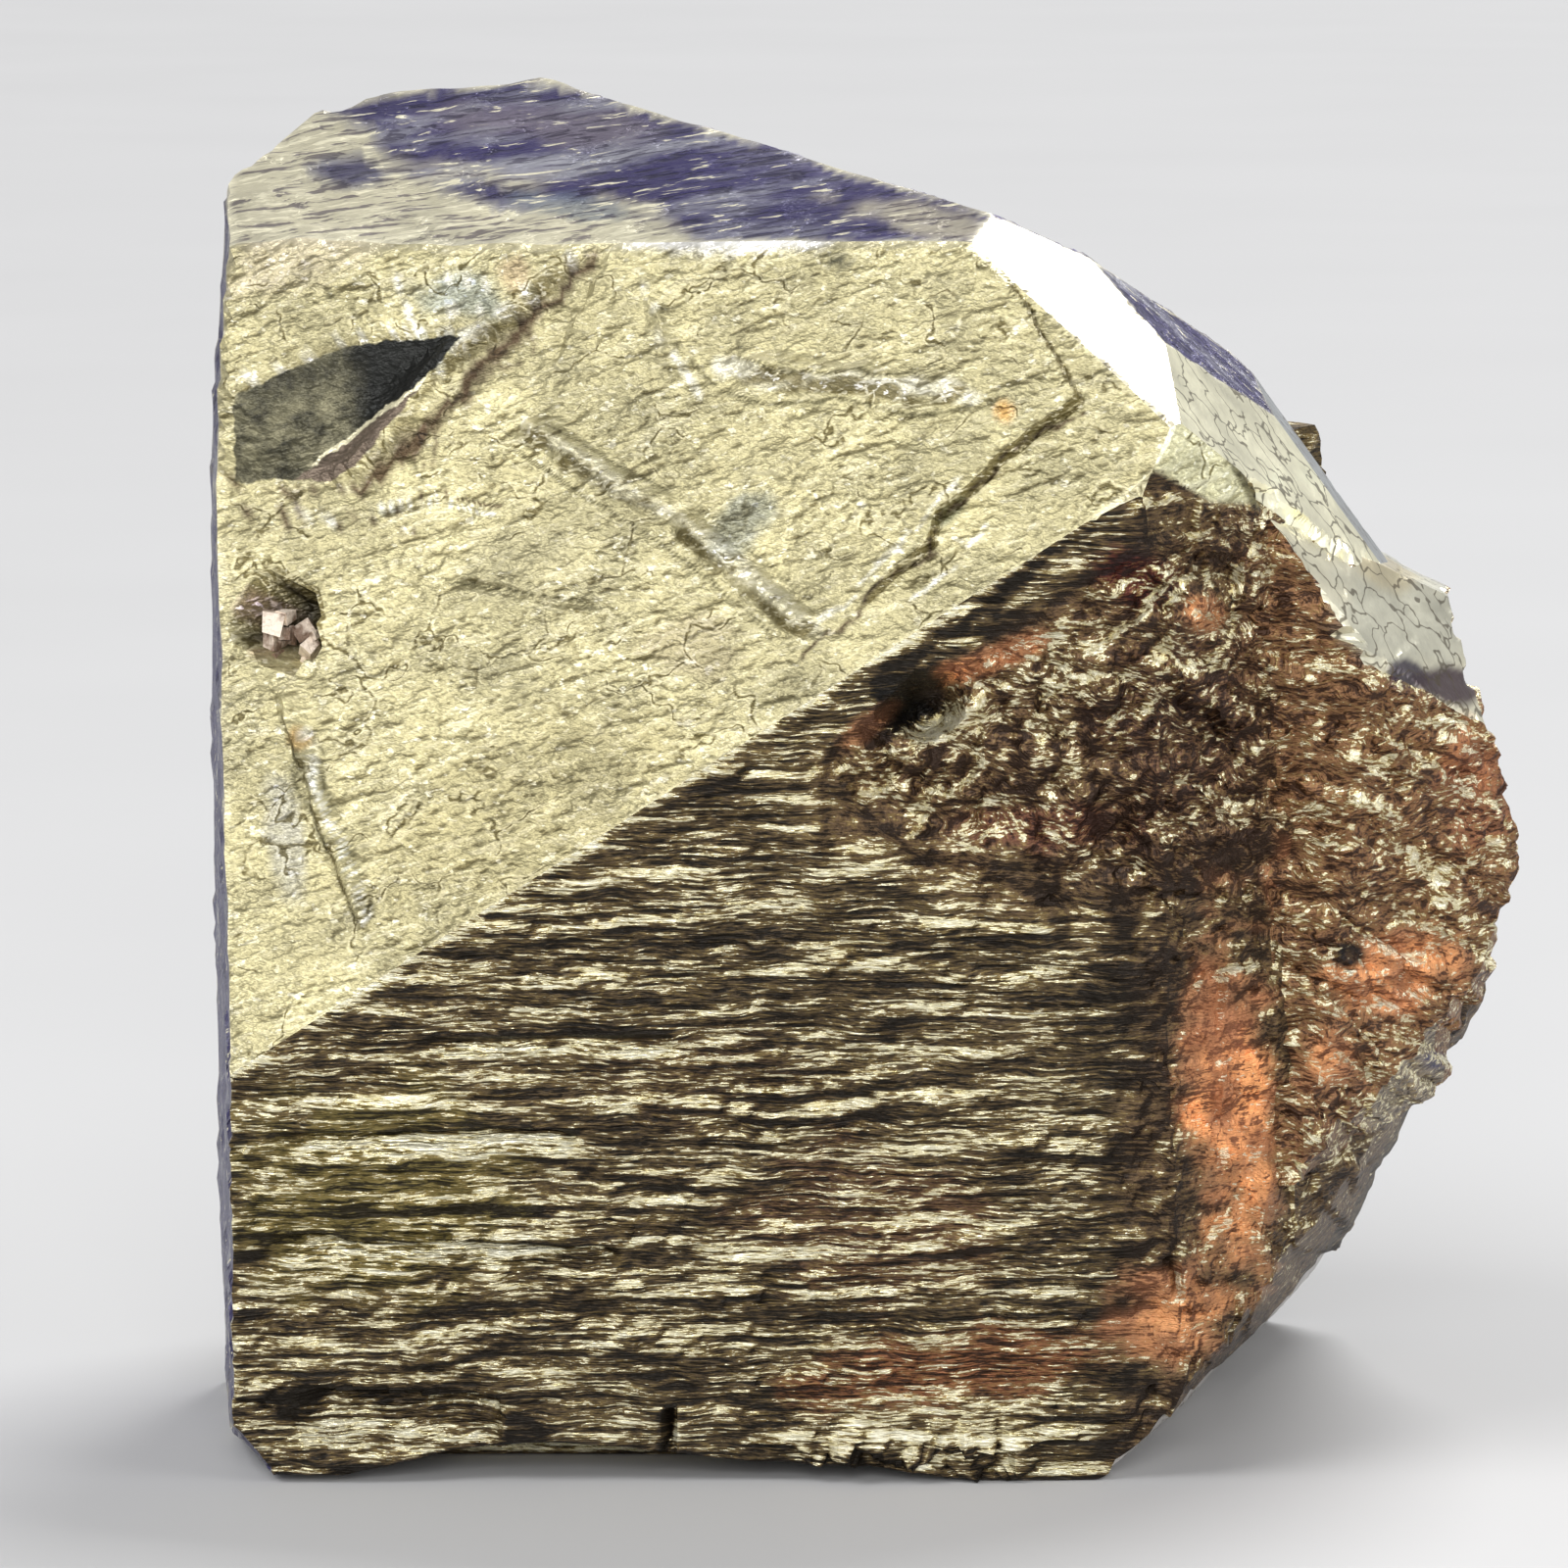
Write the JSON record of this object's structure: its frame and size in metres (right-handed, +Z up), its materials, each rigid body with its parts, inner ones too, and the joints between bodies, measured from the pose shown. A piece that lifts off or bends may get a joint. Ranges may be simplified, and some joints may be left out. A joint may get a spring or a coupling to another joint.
{
  "type": "pyrite cluster",
  "caption": "Hand specimen of pyrite: a chunky mass of intergrown crystals with one smooth slanting face, striated and stepped faces, on a flat base.",
  "frame": {"origin": "on the flat base, under the middle of the bounding box", "axes": "+Z up; -Y towards the large striated front face; +X towards the small crystal on the right"},
  "size_m": [0.0454, 0.0361, 0.044],
  "materials": {
    "pyrite": "metallic lustre, pale brass with dark striations and violet and copper tarnish",
    "pocket_crystals": "small pale pinkish blocky crystals"
  },
  "bodies": {
    "root": {"pyrite_crystal": "pyrite", "pocket_crystals": "pocket_crystals"}
  },
  "joints": []
}
